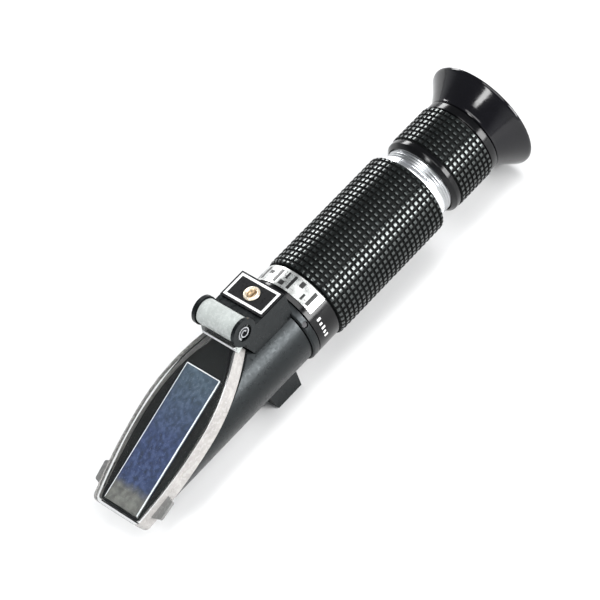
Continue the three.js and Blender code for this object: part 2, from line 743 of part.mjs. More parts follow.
function place(parent, name, shape, material) {
  const geometry = shape.isBufferGeometry ? shape : toGeometry(shape);
  const mesh = new THREE.Mesh(geometry, material());
  mesh.name = name;
  parent.add(mesh);
}

// Housing, prism and daylight plate.
place(instrument, 'prism_housing', makeHousing(), blackCasting);
place(slope, 'measuring_prism', slopeSlab(prismOutline, PRISM.halfWidth), prismGlass);
place(slope, 'prism_bed', makePrismBed(), steel);
place(slope, 'daylight_plate', makeDaylightPlate(), clearAcrylic);
place(instrument, 'hinge_pin', makeHingePin(), steel);

// Calibration plate, screw and the temperature-compensated objective.
place(instrument, 'calibration_plate', makeBadge(), blackAnodised);
place(instrument, 'calibration_bush', makeBush(), brass);
place(instrument, 'calibration_screw', makeScrew(), brass);
place(instrument, 'lens_carrier', makeCarrier(), blackAnodised);
place(instrument, 'bimetal_strip_top', makeBimetalStrip(1), steel);
place(instrument, 'bimetal_strip_bottom', makeBimetalStrip(-1), steel);
place(instrument, 'objective_cell', makeObjectiveCell(), blackAnodised);
place(instrument, 'objective_lens', makeLens(OBJECTIVE.front, OBJECTIVE.rear, OBJECTIVE.radius, 0.9), clearGlass);
place(instrument, 'carrier_spring', makeLeafSpring(), steel);

// Tube, its joint to the housing, and what the tube holds.
place(instrument, 'lock_ring', makeLockRing(), blackAnodised);
lockScrewAngles().forEach((angle, i) => {
  place(instrument, `lock_screw_${i + 1}`, makeLockScrew(angle), steel);
});
const tubeSeal = roundRing(TUBE_SEAL.station, TUBE_SEAL.radius, TUBE_SEAL.thickness);
place(instrument, 'tube_seal', tubeSeal, blackRubber);
place(instrument, 'main_tube', makeTube(), blackAnodised);
place(instrument, 'band_label', makeBandLabel(), silverFoil);
const gripShape = softSleeve(GRIP.front, GRIP.rear, GRIP.bore, GRIP.radius, GRIP.edge, FINE);
place(instrument, 'grip_sleeve', gripShape, blackRubber);
place(instrument, 'aperture_stop', sleeve(STOP.front, STOP.rear, STOP.bore, STOP.radius), blackAnodised);
place(instrument, 'reticle_holder', makeReticleHolder(), blackAnodised);
const reticleSeat = RETICLE.radius - 0.7 - GAP;
place(instrument, 'reticle_disc', rod(RETICLE.discFront, RETICLE.discRear, reticleSeat), clearGlass);
const clampFront = RETICLE.discRear + GAP;
place(instrument, 'reticle_clamp', sleeve(clampFront, RETICLE.rear - 0.2, RETICLE.bore, reticleSeat), brass);

// Eyepiece: fixed tube, sliding lens barrel, turning focus ring and eyecup.
place(instrument, 'end_ring', sleeve(END_RING.front, END_RING.rear, END_RING.bore, END_RING.radius, FINE), chromePlate);
place(instrument, 'eyepiece_tube', makeEyeTube(), chromePlate);
const guideKey = radialBar(GUIDE_KEY.station, GUIDE_KEY.inner, GUIDE_KEY.outer, GUIDE_KEY.radius, 180);
place(instrument, 'guide_key', guideKey, steel);
const eyeSeal = roundRing(EYE_SEAL.station, EYE_SEAL.radius, EYE_SEAL.thickness);
place(instrument, 'eyepiece_seal', eyeSeal, blackRubber);
place(instrument, 'lens_barrel', makeBarrel(), blackAnodised);
const fieldLens = makeLens(FIELD_LENS.front, FIELD_LENS.rear, LENS_RADIUS, FIELD_LENS.bulge);
place(instrument, 'field_lens', fieldLens, clearGlass);
place(instrument, 'lens_spacer', sleeve(SPACER.front, SPACER.rear, SPACER.bore, LENS_RADIUS), blackAnodised);
const eyeLens = makeLens(EYE_LENS.front, EYE_LENS.rear, LENS_RADIUS, EYE_LENS.bulge);
place(instrument, 'eye_lens', eyeLens, clearGlass);
const clamp = sleeve(LENS_CLAMP.front, LENS_CLAMP.rear, LENS_CLAMP.bore, LENS_RADIUS);
place(instrument, 'eye_lens_clamp', clamp, blackAnodised);
place(instrument, 'barrel_circlip', makeCirclip(), steel);
place(instrument, 'focus_ring', makeRingCore(), blackAnodised);
const ringGrip = softSleeve(RING_GRIP.front, RING_GRIP.rear, RING_GRIP.bore, RING_GRIP.radius, RING_GRIP.edge, FINE, 1);
place(instrument, 'focus_ring_grip', ringGrip, blackRubber);
place(instrument, 'eyecup', makeEyecup(), blackRubber);

// Stand the instrument on its foot and eyecup, centred over the origin.
const box = new THREE.Box3().setFromObject(instrument, true);
instrument.position.set(-(box.min.x + box.max.x) / 2, 0, EYECUP_RADIUS);

const refractometer = new THREE.Group();
refractometer.add(instrument);

export default refractometer;
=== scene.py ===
import math

import bmesh
import bpy
from mathutils import Matrix, Quaternion, Vector


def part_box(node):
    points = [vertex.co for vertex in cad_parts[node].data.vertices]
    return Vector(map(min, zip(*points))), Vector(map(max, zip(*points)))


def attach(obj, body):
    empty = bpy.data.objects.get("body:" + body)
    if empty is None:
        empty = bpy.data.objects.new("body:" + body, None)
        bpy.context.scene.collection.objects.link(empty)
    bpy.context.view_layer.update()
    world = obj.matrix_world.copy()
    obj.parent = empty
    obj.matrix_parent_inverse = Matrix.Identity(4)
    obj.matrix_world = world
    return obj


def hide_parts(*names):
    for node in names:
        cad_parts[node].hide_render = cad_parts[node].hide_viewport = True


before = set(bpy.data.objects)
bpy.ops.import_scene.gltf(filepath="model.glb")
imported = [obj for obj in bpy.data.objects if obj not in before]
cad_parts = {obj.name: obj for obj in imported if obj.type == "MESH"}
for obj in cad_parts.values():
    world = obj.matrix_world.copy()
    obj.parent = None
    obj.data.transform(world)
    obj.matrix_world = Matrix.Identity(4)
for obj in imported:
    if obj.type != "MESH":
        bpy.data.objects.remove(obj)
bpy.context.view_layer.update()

# ------------------------------------------------------------------ the frame
# Millimetres below are stations along the optical axis and heights above it.
# Station 0 is BADGE_MARGIN behind the front edge of the calibration plate.

MM = 0.001
BADGE_MARGIN = 0.6
STATION_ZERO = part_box("calibration_plate")[0].x + BADGE_MARGIN * MM
AXIS_HEIGHT = (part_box("eyecup")[0].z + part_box("eyecup")[1].z) / 2
INCLINE = math.radians(21)
SLOPE_STATION, SLOPE_HEIGHT = -19.77, 10.11
HINGE_STATION, HINGE_HEIGHT = -7.65, 20.3

SMOOTH_ANGLE = math.radians(32)


def at(station, y, height):
    """A point given along, across and above the optical axis, in metres."""
    return Vector((STATION_ZERO + station * MM, y * MM, AXIS_HEIGHT + height * MM))


def slope_point(down, up):
    """Station and height of a point given down the prism's slope and square to it."""
    station = SLOPE_STATION - down * math.cos(INCLINE) - up * math.sin(INCLINE)
    height = SLOPE_HEIGHT - down * math.sin(INCLINE) + up * math.cos(INCLINE)
    return station, height


def on_slope(down, y, up):
    """A point given down the prism's slope, across it and square to it."""
    station, height = slope_point(down, up)
    return at(station, y, height)


def slope_of(station, height):
    """The reverse: how far down the slope and square to it a point lies."""
    dx, dz = station - SLOPE_STATION, height - SLOPE_HEIGHT
    down = -dx * math.cos(INCLINE) - dz * math.sin(INCLINE)
    up = -dx * math.sin(INCLINE) + dz * math.cos(INCLINE)
    return down, up


def slope_place(point):
    """How far down the slope and square to it a point in metres lies."""
    return slope_of((point.x - STATION_ZERO) / MM, (point.z - AXIS_HEIGHT) / MM)


HINGE_DOWN, HINGE_UP = slope_of(HINGE_STATION, HINGE_HEIGHT)
SLOPE_NORMAL = (on_slope(0, 0, 1) - on_slope(0, 0, 0)).normalized()


# ------------------------------------------------------------------ materials

def new_material(name):
    material = bpy.data.materials.new(name)
    material.use_nodes = True
    tree = material.node_tree
    return material, tree, tree.nodes["Principled BSDF"]


def noise(tree, scale, detail=3.0, stretch=(1, 1, 1), offset=(0, 0, 0)):
    """A noise texture in object space. Scale is in features per metre."""
    coordinates = tree.nodes.new("ShaderNodeTexCoord")
    mapping = tree.nodes.new("ShaderNodeMapping")
    mapping.inputs["Scale"].default_value = stretch
    mapping.inputs["Location"].default_value = offset
    texture = tree.nodes.new("ShaderNodeTexNoise")
    texture.inputs["Scale"].default_value = scale
    texture.inputs["Detail"].default_value = detail
    tree.links.new(coordinates.outputs["Object"], mapping.inputs["Vector"])
    tree.links.new(mapping.outputs["Vector"], texture.inputs["Vector"])
    return texture.outputs["Fac"]


def ramp(tree, factor, stops):
    node = tree.nodes.new("ShaderNodeValToRGB")
    points = node.color_ramp.elements
    while len(points) < len(stops):
        points.new(0.5)
    for point, (position, colour) in zip(points, stops):
        point.position = position
        point.color = (*colour, 1)
    tree.links.new(factor, node.inputs["Fac"])
    return node.outputs["Color"]


def between(tree, factor, low, high, start=0.3, end=0.7):
    node = tree.nodes.new("ShaderNodeMapRange")
    node.inputs["From Min"].default_value = start
    node.inputs["From Max"].default_value = end
    node.inputs["To Min"].default_value = low
    node.inputs["To Max"].default_value = high
    tree.links.new(factor, node.inputs["Value"])
    return node.outputs["Result"]


def blended(tree, factor, first, second):
    """Goes from the first colour at factor 0 to the second at 1."""
    node = tree.nodes.new("ShaderNodeMix")
    node.data_type = "RGBA"
    tree.links.new(factor, node.inputs["Factor"])
    tree.links.new(first, node.inputs["A"])
    tree.links.new(second, node.inputs["B"])
    return node.outputs["Result"]


def bump(tree, shader, height, strength, distance):
    node = tree.nodes.new("ShaderNodeBump")
    node.inputs["Strength"].default_value = strength
    node.inputs["Distance"].default_value = distance
    tree.links.new(height, node.inputs["Height"])
    tree.links.new(node.outputs["Normal"], shader.inputs["Normal"])


def scaled(colour, factor):
    return tuple(min(1, c * factor) for c in colour)


def finish(name, colour, roughness, metallic=0.0, mottle=0.25, mottle_scale=120, grain_scale=1800,
           grain=0.15, grain_depth=0.00004, spread=0.25, stretch=(1, 1, 1), **sockets):
    """A solid finish: a mottled colour, uneven roughness and a fine relief."""
    material, tree, shader = new_material(name)
    broad = noise(tree, mottle_scale, 4.0, stretch)
    fine = noise(tree, grain_scale, 2.0, stretch, (0.3, 0.1, 0.2))
    stops = [(0.3, scaled(colour, 1 - mottle)), (0.7, scaled(colour, 1 + mottle))]
    tree.links.new(ramp(tree, broad, stops), shader.inputs["Base Color"])
    low, high = roughness * (1 - spread), min(1, roughness * (1 + spread))
    tree.links.new(between(tree, fine, low, high), shader.inputs["Roughness"])
    shader.inputs["Metallic"].default_value = metallic
    for socket, value in sockets.items():
        shader.inputs[socket.replace("_", " ")].default_value = value
    if grain:
        bump(tree, shader, fine, grain, grain_depth)
    return material


def glass(name, colour, roughness, ior=1.49):
    """Clear plastic or glass that lets lamps through."""
    material, tree, shader = new_material(name)
    shader.inputs["Base Color"].default_value = (*colour, 1)
    shader.inputs["IOR"].default_value = ior
    shader.inputs["Transmission Weight"].default_value = 1
    speckle = noise(tree, 600, 3.0)
    uneven = between(tree, speckle, roughness * 0.6, roughness * 1.6)
    tree.links.new(uneven, shader.inputs["Roughness"])
    clear = tree.nodes.new("ShaderNodeBsdfTransparent")
    clear.inputs["Color"].default_value = (*scaled(colour, 0.97), 1)
    path = tree.nodes.new("ShaderNodeLightPath")
    mix = tree.nodes.new("ShaderNodeMixShader")
    output = tree.nodes["Material Output"]
    tree.links.new(path.outputs["Is Shadow Ray"], mix.inputs["Fac"])
    tree.links.new(shader.outputs["BSDF"], mix.inputs[1])
    tree.links.new(clear.outputs["BSDF"], mix.inputs[2])
    tree.links.new(mix.outputs["Shader"], output.inputs["Surface"])
    return material


enamel = finish("satin_black_enamel", (0.0025, 0.0032, 0.0034), 0.33, mottle=0.2,
                grain_scale=900, grain=0.015, grain_depth=0.00003,
                Specular_IOR_Level=0.32, Specular_Tint=(0.88, 0.96, 1, 1))
face_black = finish("face_black", (0.0026, 0.003, 0.0028), 0.5, mottle=0.3, mottle_scale=500,
                    grain=0.05, Specular_IOR_Level=0.12)
anodised = finish("black_anodised", (0.006, 0.007, 0.008), 0.3, 0.2, stretch=(4, 1, 1), grain=0.06)
gloss_black = finish("gloss_black", (0.003, 0.003, 0.0035), 0.16, mottle=0.2, grain=0.02,
                     Specular_IOR_Level=0.27)
print_black = finish("printed_black", (0.003, 0.003, 0.004), 0.35, mottle=0.2, grain=0.05,
                     Specular_IOR_Level=0.25)
grip_rubber = finish("grip_rubber", (0.003, 0.004, 0.004), 0.24, mottle=0.3,
                     grain_scale=2500, grain=0.06, grain_depth=0.00003,
                     Specular_IOR_Level=0.9, Specular_Tint=(0.92, 1, 0.98, 1))
# Painted shade: a darker, duller copy of the grip rubber for the grooves between the studs.
groove_shade_rubber = finish("groove_shade_rubber", (0.002, 0.0026, 0.0026), 0.6, mottle=0.3,
                       grain_scale=2500, grain=0.1, Specular_IOR_Level=0.15)
cup_rubber = finish("eyecup_rubber", (0.003, 0.0028, 0.0042), 0.12, mottle=0.25,
                    grain_scale=1500, grain=0.0, Specular_IOR_Level=0.44)
seal_rubber = finish("seal_rubber", (0.01, 0.01, 0.01), 0.55)
chrome = finish("chrome", (0.93, 0.94, 0.96), 0.24, 1.0, mottle=0.03, grain=0.0, spread=0.04)
thread_steel = finish("thread_steel", (0.5, 0.51, 0.52), 0.3, 1.0, mottle=0.1, grain=0.0,
                      spread=0.05)
steel = finish("steel", (0.5, 0.51, 0.53), 0.3, 1.0, mottle=0.12, grain=0.1)
dark_steel = finish("dark_steel", (0.03, 0.03, 0.032), 0.45, 0.6, mottle=0.2, grain=0.1)
bimetal = finish("bimetal", (0.45, 0.4, 0.35), 0.35, 1.0, mottle=0.15, grain=0.1,
                 stretch=(1, 6, 1))
brass = finish("brass", (0.93, 0.82, 0.66), 0.3, 0.7, mottle=0.06, mottle_scale=500, grain=0.02)
screw_brass = finish("screw_brass", (0.75, 0.6, 0.42), 0.35, 0.9, mottle=0.15,
                     mottle_scale=700, grain=0.03)
foil = finish("silver_foil", (0.5, 0.51, 0.5), 0.32, 0.75, mottle=0.35, mottle_scale=420,
              grain=0.1)
white_ink = finish("white_ink", (0.8, 0.8, 0.8), 0.45, mottle=0.03, grain=0.1)
black_ink = finish("black_ink", (0.005, 0.005, 0.005), 0.35, mottle=0.2, grain=0.05)
# Pale grey: the ground rim of the prism, and painted highlights along the clear plate's edges.
ground_and_highlight_edge = finish("ground_and_highlight_edge", (0.6, 0.61, 0.62), 0.5, mottle=0.12, mottle_scale=900,
                     grain=0.2)
optic = glass("optic_glass", (0.93, 0.97, 0.98), 0.02, ior=1.52)
acrylic = glass("clear_acrylic", (0.96, 0.97, 0.97), 0.02)


DEEP_BLUE = [(0.36, (0.011, 0.018, 0.038)), (0.5, (0.017, 0.027, 0.068)),
             (0.64, (0.036, 0.052, 0.11))]
PALE_BLUE = [(0.36, (0.02, 0.031, 0.043)), (0.5, (0.032, 0.048, 0.07)),
             (0.64, (0.052, 0.074, 0.098))]
TIP_GREY = [(0.3, (0.05, 0.05, 0.046)), (0.7, (0.125, 0.125, 0.115))]
GREY_FROM, WAVINESS, GREY_BLUR = 39, 4 * MM, 1.2 * MM
PALE_UP_TO, DEEP_FROM = 2, 20


def prism_material():
    """Cloudy glass: pale blue near the hinge, deep blue below, grey at the tip."""
    material, tree, shader = new_material("prism_glass")
    cloud = noise(tree, 650, 6.0, (1, 1.2, 1))
    deep = ramp(tree, cloud, DEEP_BLUE)
    pale = ramp(tree, cloud, PALE_BLUE)
    grey = ramp(tree, noise(tree, 500, 5.0), TIP_GREY)
    coordinates = tree.nodes.new("ShaderNodeTexCoord")
    split = tree.nodes.new("ShaderNodeSeparateXYZ")
    tree.links.new(coordinates.outputs["Object"], split.inputs["Vector"])
    wave = tree.nodes.new("ShaderNodeMath")
    wave.operation = "MULTIPLY_ADD"
    wave.inputs[1].default_value = WAVINESS
    tree.links.new(noise(tree, 120, 3.0, (1, 1, 1), (0.5, 0, 0)), wave.inputs[0])
    tree.links.new(split.outputs["X"], wave.inputs[2])
    place = wave.outputs["Value"]
    border = on_slope(GREY_FROM, 0, 0).x + WAVINESS / 2
    tipward = between(tree, place, 1, 0, border - GREY_BLUR, border + GREY_BLUR)
    upward = between(tree, place, 0, 1, on_slope(DEEP_FROM, 0, 0).x, on_slope(PALE_UP_TO, 0, 0).x)
    blue = blended(tree, upward, deep, pale)
    tree.links.new(blended(tree, tipward, blue, grey), shader.inputs["Base Color"])
    shader.inputs["Roughness"].default_value = 0.3
    return material


def painted_light_plastic(name, colour, opaque, roughness=0.25):
    """Painted light and shade for moulded clear plastic: a mottled, mostly opaque colour in place of
    the light it carries and the shade seen through it.
    """
    material, tree, shader = new_material(name)
    cloud = noise(tree, 260, 5.0)
    stops = [(0.3, scaled(colour, 0.85)), (0.7, scaled(colour, 1.1))]
    tree.links.new(ramp(tree, cloud, stops), shader.inputs["Base Color"])
    uneven = between(tree, noise(tree, 900), roughness * 0.7, roughness * 1.4)
    tree.links.new(uneven, shader.inputs["Roughness"])
    shader.inputs["IOR"].default_value = 1.49
    shader.inputs["Transmission Weight"].default_value = 1 - opaque
    return material


# ------------------------------------------------------------- shape helpers

def make(name, vertices, faces, materials, body, nodes=(), slot=None, sharp=SMOOTH_ANGLE):
    """Makes a closed mesh piece that rides on a body and may stand for CAD nodes."""
    mesh = bpy.data.meshes.new(name)
    mesh.from_pydata([tuple(v) for v in vertices], [], faces)
    piece = bpy.data.objects.new(name, mesh)
    bpy.context.scene.collection.objects.link(piece)
    settle(piece, sharp)
    for material in materials if isinstance(materials, (list, tuple)) else [materials]:
        piece.data.materials.append(material)
    if body:
        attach(piece, body)
    if nodes:
        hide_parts(*nodes)
    return piece


def settle(piece, sharp=SMOOTH_ANGLE):
    """Merges doubles, drops slivers and strays, and shades smooth except on sharp edges."""
    cleaned = bmesh.new()
    cleaned.from_mesh(piece.data)
    bmesh.ops.remove_doubles(cleaned, verts=cleaned.verts, dist=1e-6)
    bmesh.ops.dissolve_degenerate(cleaned, dist=2e-6, edges=cleaned.edges)
    strays = [f for f in cleaned.faces if not any(e.is_manifold for e in f.edges)]
    bmesh.ops.delete(cleaned, geom=strays, context="FACES")
    bmesh.ops.recalc_face_normals(cleaned, faces=cleaned.faces)
    cleaned.to_mesh(piece.data)
    cleaned.free()
    piece.data.polygons.foreach_set("use_smooth", [True] * len(piece.data.polygons))
    piece.data.set_sharp_from_angle(angle=sharp)
    piece.data.update()


def apply_modifiers(piece):
    bpy.context.view_layer.update()
    graph = bpy.context.evaluated_depsgraph_get()
    mesh = bpy.data.meshes.new_from_object(piece.evaluated_get(graph))
    piece.modifiers.clear()
    old = piece.data
    piece.data = mesh
    bpy.data.meshes.remove(old)


def combine(piece, others, operation):
    for other in others:
        modifier = piece.modifiers.new("shape", "BOOLEAN")
        modifier.operation = operation
        modifier.solver = "EXACT"
        modifier.object = other
    apply_modifiers(piece)
    for other in others:
        bpy.data.objects.remove(other)
    return piece


def bevelled(piece, width, segments=3, angle=32, edge_slot=-1):
    """Rounds the sharp edges. edge_slot is the material of the rounded strips."""
    modifier = piece.modifiers.new("bevel", "BEVEL")
    modifier.material = edge_slot
    modifier.width = width * MM
    modifier.segments = segments
    modifier.limit_method = "ANGLE"
    modifier.angle_limit = math.radians(angle)
    modifier.use_clamp_overlap = True
    apply_modifiers(piece)
    settle(piece)
    even = piece.modifiers.new("normals", "WEIGHTED_NORMAL")
    even.keep_sharp = True
    return piece


def rounded(profile, radius, steps=4):
    """Rounds the corners of a closed outline, in the outline's own units."""
    result = []
    count = len(profile)
    for i, corner in enumerate(profile):
        p = Vector(corner)
        before, after = Vector(profile[i - 1]) - p, Vector(profile[(i + 1) % count]) - p
        reach = min(radius, before.length * 0.45, after.length * 0.45)
        if reach < 1e-4:
            result.append(tuple(p))
            continue
        start, end = p + before.normalized() * reach, p + after.normalized() * reach
        for k in range(steps + 1):
            t = k / steps
            result.append(tuple(start * (1 - t) ** 2 + p * 2 * t * (1 - t) + end * t ** 2))
    return result


def turned(profile, segments=144, relief=None):
    """A closed solid turned about the optical axis from a closed outline.

    relief(station, angle, index) adds to the radius.
    """
    vertices, faces = [], []
    rows = len(profile)
    for i, (station, radius) in enumerate(profile):
        for j in range(segments):
            angle = 2 * math.pi * j / segments
            r = radius + (relief(station, angle, i) if relief else 0)
            vertices.append(at(station, r * math.cos(angle), r * math.sin(angle)))
    for i in range(rows):
        for j in range(segments):
            a, b = i * segments + j, i * segments + (j + 1) % segments
            c, d = ((i + 1) % rows) * segments + (j + 1) % segments, ((i + 1) % rows) * segments + j
            faces.append((a, b, c, d))
    return vertices, faces


def disc_like(profile, segments=96):
    """A solid turned from an outline that starts and ends on the axis."""
    vertices = [at(profile[0][0], 0, 0)]
    faces = []
    inner = profile[1:-1]
    for station, radius in inner:
        for j in range(segments):
            angle = 2 * math.pi * j / segments
            vertices.append(at(station, radius * math.cos(angle), radius * math.sin(angle)))
    last = len(vertices)
    vertices.append(at(profile[-1][0], 0, 0))
    for j in range(segments):
        k = (j + 1) % segments
        faces.append((0, 1 + k, 1 + j))
        faces.append((last, last - segments + j, last - segments + k))
        for i in range(len(inner) - 1):
            a, b = 1 + i * segments + j, 1 + i * segments + k
            faces.append((a, b, b + segments, a + segments))
    return vertices, faces


def prismatic(outline, low, high, place):
    """An outline pushed from low to high. place(a, b, c) puts each corner in space."""
    vertices = [place(a, b, c) for c in (low, high) for a, b in outline]
    count = len(outline)
    faces = [tuple(range(count)), tuple(range(2 * count - 1, count - 1, -1))]
    faces += [(i, (i + 1) % count, count + (i + 1) % count, count + i) for i in range(count)]
    return vertices, faces


def temporary(vertices_faces):
    """A mesh object that is only there to be combined with another."""
    return make("shape", *vertices_faces, [], None)


def circle(centre_a, centre_b, radius, segments):
    angles = [2 * math.pi * i / segments for i in range(segments)]
    return [(centre_a + radius * math.cos(t), centre_b + radius * math.sin(t)) for t in angles]


def cross_bar(station, height, radius, low, high, segments=96):
    """A round bar that runs across the instrument."""
    outline = circle(station, height, radius, segments)
    return prismatic(outline, low, high, lambda a, b, c: at(a, c, b))


def upright(radius, low, high, segments=64):
    """A round bar that stands on the calibration screw's axis."""
    return raised(circle(SCREW_STATION, 0, radius, segments), low, high)


def raised(outline, low, high):
    """An outline given along and across the instrument, raised between two heights."""
    return prismatic(outline, low, high, at)


def side_slab(outline, half_width):
    """An outline given along and up the instrument, widened equally both ways."""
    return prismatic(outline, -half_width, half_width, lambda a, b, c: at(a, c, b))


def oblong(start, end, half):
    """A rectangle from start to end, equally wide to both sides."""
    return [(start, -half), (end, -half), (end, half), (start, half)]


def rod(front, rear, radius, segments):
    """A round rod on the optical axis."""
    return disc_like([(front, 0), (front, radius), (rear, radius), (rear, 0)], segments)


def hinge_bar(radius, half_width, segments=96):
    """A round bar on the hinge's axis."""
    return cross_bar(HINGE_STATION, HINGE_HEIGHT, radius, -half_width, half_width, segments)


def slope_slab(outline, half_width):
    """An outline given down and up the slope, widened equally both ways."""
    return prismatic(outline, -half_width, half_width, lambda a, b, c: on_slope(a, c, b))


def on_slope_raised(outline, low, high):
    """An outline given down and across the slope, raised square to it."""
    return prismatic(outline, low, high, lambda a, b, c: on_slope(a, b, c))


# --------------------------------------------------------- dimensions in common

GAP = 0.3
HOUSING_RADIUS, HOUSING_REAR, HOUSING_BORE, BORE_FRONT = 12.83, 8.5, 9.3, -4.0
SPIGOT_RADIUS, SPIGOT_REAR = 11.0, 19.0
FOOT_TOP, FOOT_REAR, FOOT_FRONT_TOP, FOOT_FRONT_LOW, FOOT_HALF = -10.4, 4.45, -7.8, -5.6, 6.8
WINDOW_FRONT, WINDOW_RADIUS = -19.5, 6.9
BLOCK_FRONT, BLOCK_REAR, BLOCK_HALF, BLOCK_TOP, BLOCK_BOTTOM = -8.0, 9.5, 8.5, 19.3, 5.0
EAR_RADIUS, EAR_INNER, VALLEY_RADIUS = 4.5, 7.3, 5.1
PIN_RADIUS, PIN_HALF = 2.4, 8.4
PRISM_LENGTH, PRISM_HALF, PRISM_TIP, PRISM_EXIT = 45.5, 6.8, 3.2, 14.0
BED_ROOM = 1.5
FACE_CUT, FACE_TABLE, TABLE_TIP, FACE_TIP, CHEEK = -3.4, -0.4, 46.2, 46.9, -11.9
TABLE_START = -14.9
PLATE_END, PLATE_TIP, PLATE_WIDEST, PLATE_HALF = -11.4, 47.6, 17.0, 12.3
PLATE_RADII = (60.0, 150.0)
PLATE_WALL, PLATE_TIP_WALL, PLATE_BOTTOM, PLATE_UNDER, PLATE_TOP = 1.5, 1.1, -3.1, 0.3, 1.6
PLATE_FLARE, PLATE_CORNER = 0.07, 2.2
KNUCKLE_RADIUS, KNUCKLE_HALF, WEB_END, WEB_STEP = 4.0, 7.0, -9.3, 0.5
TAB_START, TAB_END, TAB_SLANT, TAB_ROOT, TAB_LOW, TAB_HIGH = 35.2, 43.6, 1.2, 0.75, -1.6, -0.5
TAB_REACH_START, TAB_REACH_END = 13.9, 13.5
BUSH_RADIUS, BUSH_BORE, BUSH_BOTTOM, BUSH_TOP = 2.55, 1.65, 10.2, 20.1
SCREW_STATION, SCREW_RADIUS, SCREW_BOTTOM, SCREW_TOP = 4.37, 1.35, 8.6, 19.1
SLOT_HALF, SLOT_BOTTOM, SLOT_REACH = 0.25, 18.2, 3
EYECUP_RADIUS = 19.0
RING_RADIUS = 13.65

# Cutters reach this far past the piece they cut.
PAST = 60


def boat_half(down):
    """Half the plate's width at its top, at a distance down the slope."""
    radius = PLATE_RADII[0] if down < PLATE_WIDEST else PLATE_RADII[1]
    return PLATE_HALF - (down - PLATE_WIDEST) ** 2 / (2 * radius)


def boat(start, tip, inset, corner, half=boat_half, steps=48):
    """An outline in plan, as (down, across), rounded at the tip. inset narrows it."""
    side = []
    for i in range(steps + 1):
        down = start + (tip - corner - start) * i / steps
        side.append((down, half(down) - inset))
    last = side[-1][1]
    for k in range(1, 9):
        angle = math.radians(90 * k / 8)
        side.append((tip - corner + corner * math.sin(angle), last - corner + corner * math.cos(angle)))
    return side + [(down, -across) for down, across in reversed(side)]


def table_half(down):
    """Half the table's width: the plate's walls clear it as they swing shut."""
    wall_depth, table_depth = HINGE_UP - PLATE_BOTTOM, HINGE_UP - FACE_TABLE
    wall_end = PLATE_END - HINGE_DOWN
    passing = max((down - HINGE_DOWN) ** 2 + table_depth ** 2 - wall_depth ** 2, wall_end ** 2)
    return boat_half(HINGE_DOWN + math.sqrt(passing)) - PLATE_WALL - GAP


def flared_boat(outline, low, high):
    """A boat outline raised from low to high, leaning outwards downwards."""
    def place(a, b, c):
        depth = (PLATE_TOP - c) / (PLATE_TOP - PLATE_BOTTOM)
        return on_slope(a, b * (1 + PLATE_FLARE * depth), c)
    return prismatic(outline, low, high, place)


# ----------------------------------------------------------------- the housing

def build_housing():
    """The cast body: nose, head block with ears, table, foot and spigot."""
    blank_front = -75
    shell = disc_like([(blank_front, 0), (blank_front, HOUSING_RADIUS),
                       (HOUSING_REAR, HOUSING_RADIUS), (HOUSING_REAR, SPIGOT_RADIUS),
                       (SPIGOT_REAR, SPIGOT_RADIUS), (SPIGOT_REAR, 0)], 192)
    housing = make("housing_body", *shell, [], None)
    above = on_slope_raised(oblong(-80, 80, PAST), FACE_CUT, 70)
    beyond = on_slope_raised(oblong(FACE_TIP, 2 * PAST, PAST), -PAST, PAST)
    combine(housing, [temporary(above), temporary(beyond)], "DIFFERENCE")

    cheek_top, cheek_low = slope_point(CHEEK, 0), slope_point(CHEEK, FACE_CUT - 1)
    block = [(BLOCK_REAR, BLOCK_BOTTOM), (BLOCK_REAR, BLOCK_TOP), (HINGE_STATION, BLOCK_TOP),
             cheek_top, cheek_low, (BLOCK_FRONT + 3, BLOCK_BOTTOM)]
    head = temporary(side_slab(block, BLOCK_HALF))
    ears = temporary(hinge_bar(EAR_RADIUS, BLOCK_HALF))
    combine(head, [ears], "UNION")
    valley = temporary(hinge_bar(VALLEY_RADIUS, EAR_INNER))
    web_room = temporary(on_slope_raised(oblong(TABLE_START, 0, EAR_INNER), FACE_TABLE, VALLEY_RADIUS))
    ring_room = temporary(rod(HOUSING_REAR, BLOCK_REAR + 1, RING_RADIUS + GAP, 128))
    combine(head, [valley, web_room, ring_room], "DIFFERENCE")
    table_outline = boat(TABLE_START, TABLE_TIP, 0, PLATE_CORNER - 1, table_half)
    table = temporary(on_slope_raised(table_outline, FACE_CUT - 1, FACE_TABLE))
    foot = temporary(side_slab([(FOOT_REAR, FOOT_TOP), (FOOT_FRONT_TOP, FOOT_TOP),
                                (FOOT_FRONT_LOW, -EYECUP_RADIUS), (FOOT_REAR, -EYECUP_RADIUS)],
                               FOOT_HALF))
    combine(housing, [head, table, foot], "UNION")

    bore = rod(BORE_FRONT, SPIGOT_REAR + 1, HOUSING_BORE, 96)
    window = rod(WINDOW_FRONT, BORE_FRONT + 1, WINDOW_RADIUS, 96)
    exit_up = -PRISM_EXIT * math.cos(INCLINE)

    def behind_exit(up):
        return -up * math.tan(INCLINE) - GAP / math.cos(INCLINE), up

    pocket_tip = PRISM_LENGTH + GAP
    pocket = slope_slab([behind_exit(2), (pocket_tip, 2), (pocket_tip, -PRISM_TIP - BED_ROOM),
                         behind_exit(exit_up - BED_ROOM)], PRISM_HALF + GAP)
    screw_hole = upright(BUSH_RADIUS + GAP, 0, PAST)
    pin_hole = hinge_bar(PIN_RADIUS + GAP, PAST, 64)
    holes = [temporary(s) for s in (bore, window, pocket, screw_hole, pin_hole)]
    combine(housing, holes, "DIFFERENCE")
    bevelled(housing, 0.3, 3, 30)
    housing.data.materials.append(enamel)
    housing.data.materials.append(face_black)
    for face in housing.data.polygons:
        down, up = slope_place(face.center)
        on_table = down > TABLE_START and abs(up - FACE_TABLE) < 0.4
        if on_table and face.normal.dot(SLOPE_NORMAL) > 0.9:
            face.material_index = 1
    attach(housing, "optical_body")
    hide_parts("prism_housing")


build_housing()

# ------------------------------------------------------------------- the prism


